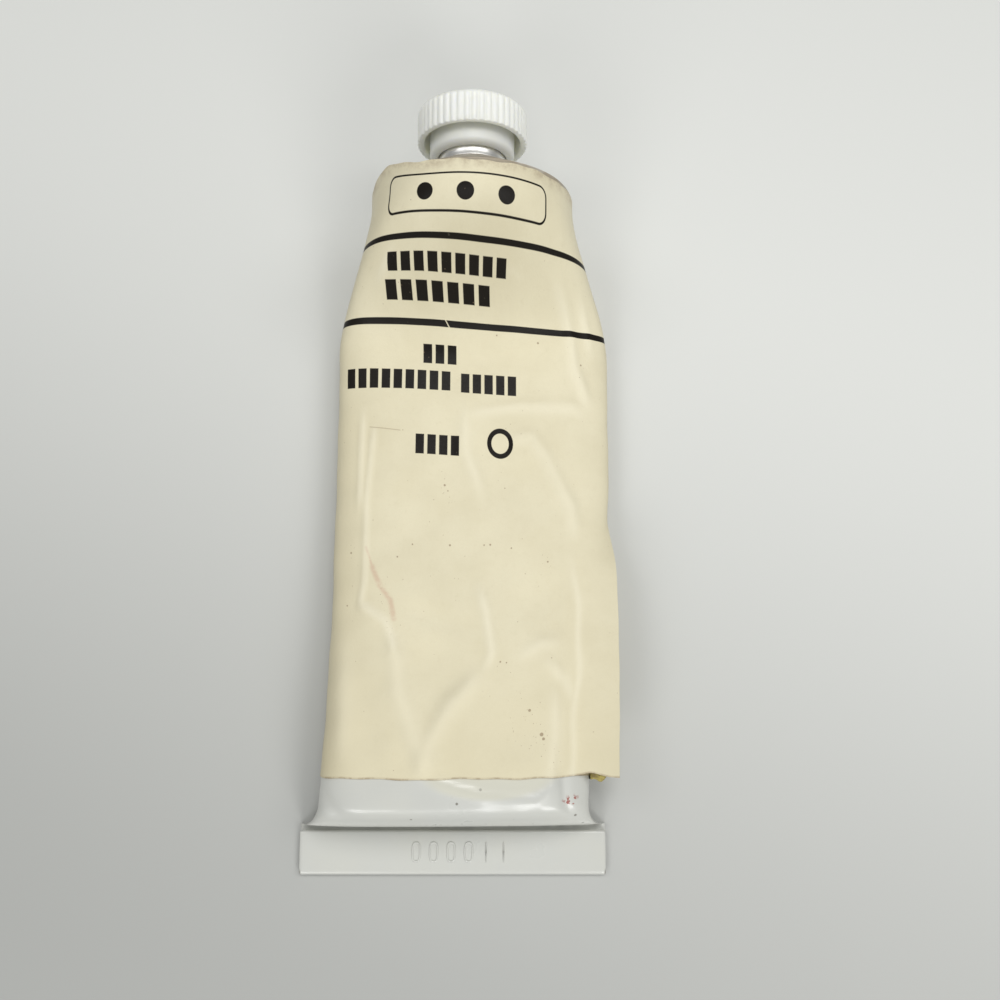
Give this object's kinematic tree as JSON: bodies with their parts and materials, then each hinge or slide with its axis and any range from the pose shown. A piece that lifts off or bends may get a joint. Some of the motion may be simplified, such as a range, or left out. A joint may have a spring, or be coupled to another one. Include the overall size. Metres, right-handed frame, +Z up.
{
  "type": "paint tube",
  "caption": "Half-used soft metal tube of artist's paint, lying flat, with a worn paper label, a double-folded end and a ribbed white screw cap.",
  "frame": {"origin": "on the surface that the tube lies on, under the middle of its length and width", "axes": "+Y along the neck, from the folded end to the cap; +Z up; +X to the right, seen from above with the cap away from the viewer"},
  "size_m": [0.0454, 0.1083, 0.0283],
  "materials": {
    "enamelled_metal": "satin",
    "bare_metal": "satin",
    "paint": "satin",
    "label_paper": "satin",
    "cap_plastic": "satin"
  },
  "bodies": {
    "tube_body": {"tube": "enamelled_metal", "paint": "paint", "label": "label_paper"},
    "cap_body": {"cap": "cap_plastic"}
  },
  "joints": [
    {"name": "cap_lift", "type": "slide", "parent": "tube_body", "child": "cap_body", "axis": [0, 1, 0], "range_m": [0, 0.016]}
  ]
}
